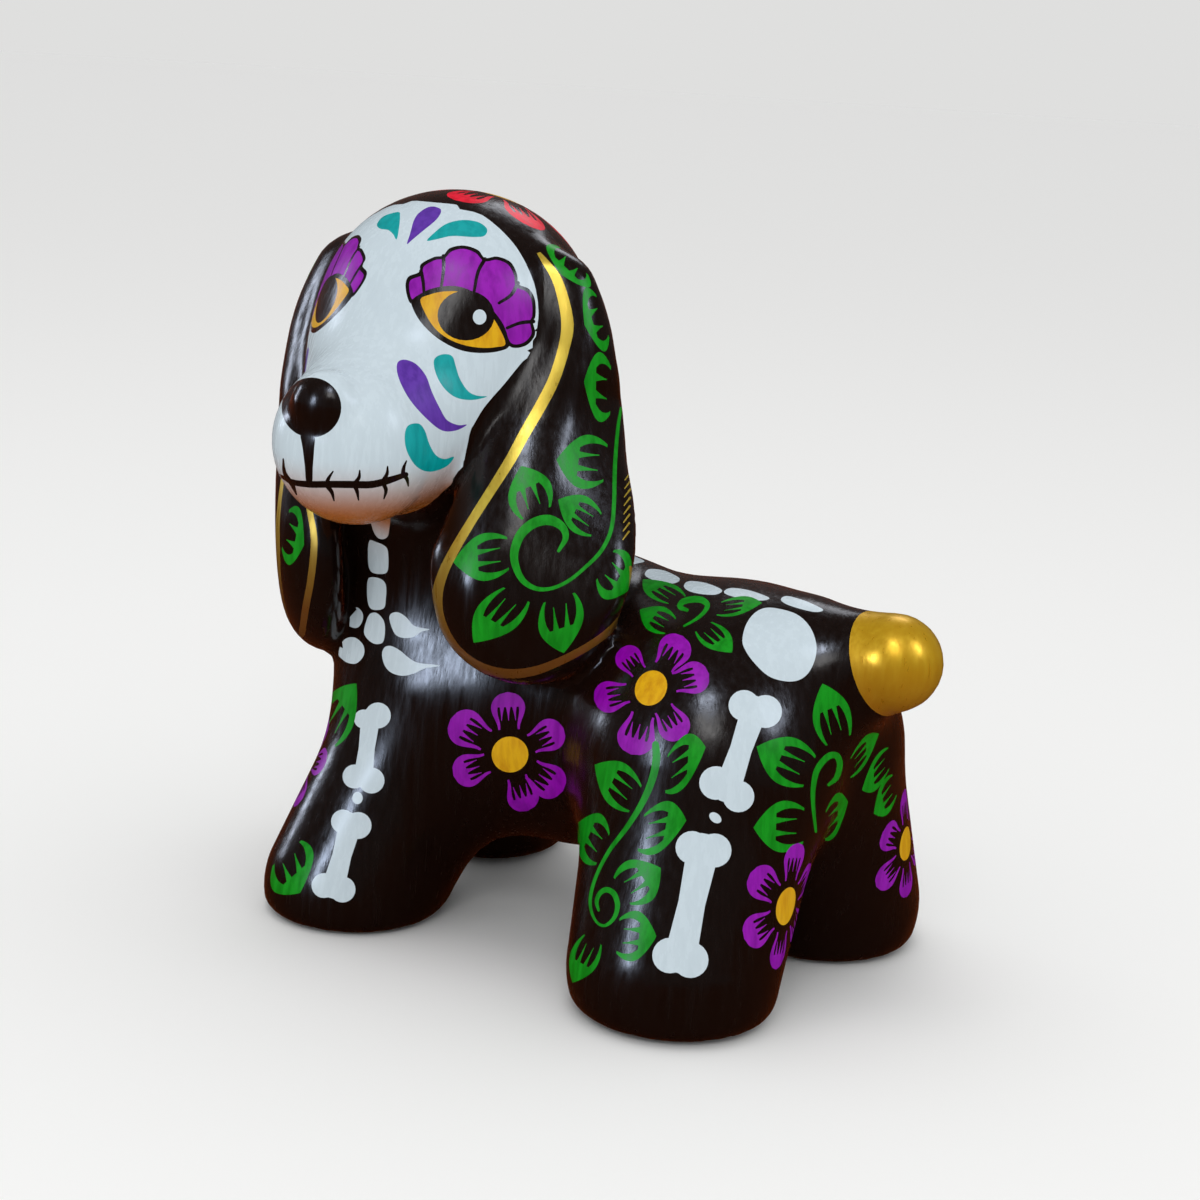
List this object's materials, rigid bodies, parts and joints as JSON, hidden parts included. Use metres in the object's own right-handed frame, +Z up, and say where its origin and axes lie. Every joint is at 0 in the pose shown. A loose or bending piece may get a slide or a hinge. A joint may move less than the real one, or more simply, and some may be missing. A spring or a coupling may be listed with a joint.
{
  "type": "dog figurine",
  "caption": "Glossy black hand-painted clay spaniel figurine in the Day of the Dead manner, standing with its head turned and long ears hanging.",
  "frame": {"origin": "middle of the part's bounding box in plan, on the plane that the four soles stand on", "axes": "+Z up, +X towards the tail, -Y the side that the head looks to, so that the body faces -X"},
  "size_m": [0.1638, 0.1242, 0.167],
  "materials": {
    "black_enamel": "gloss"
  },
  "bodies": {
    "root": {"spaniel_figurine": "black_enamel"}
  },
  "joints": []
}
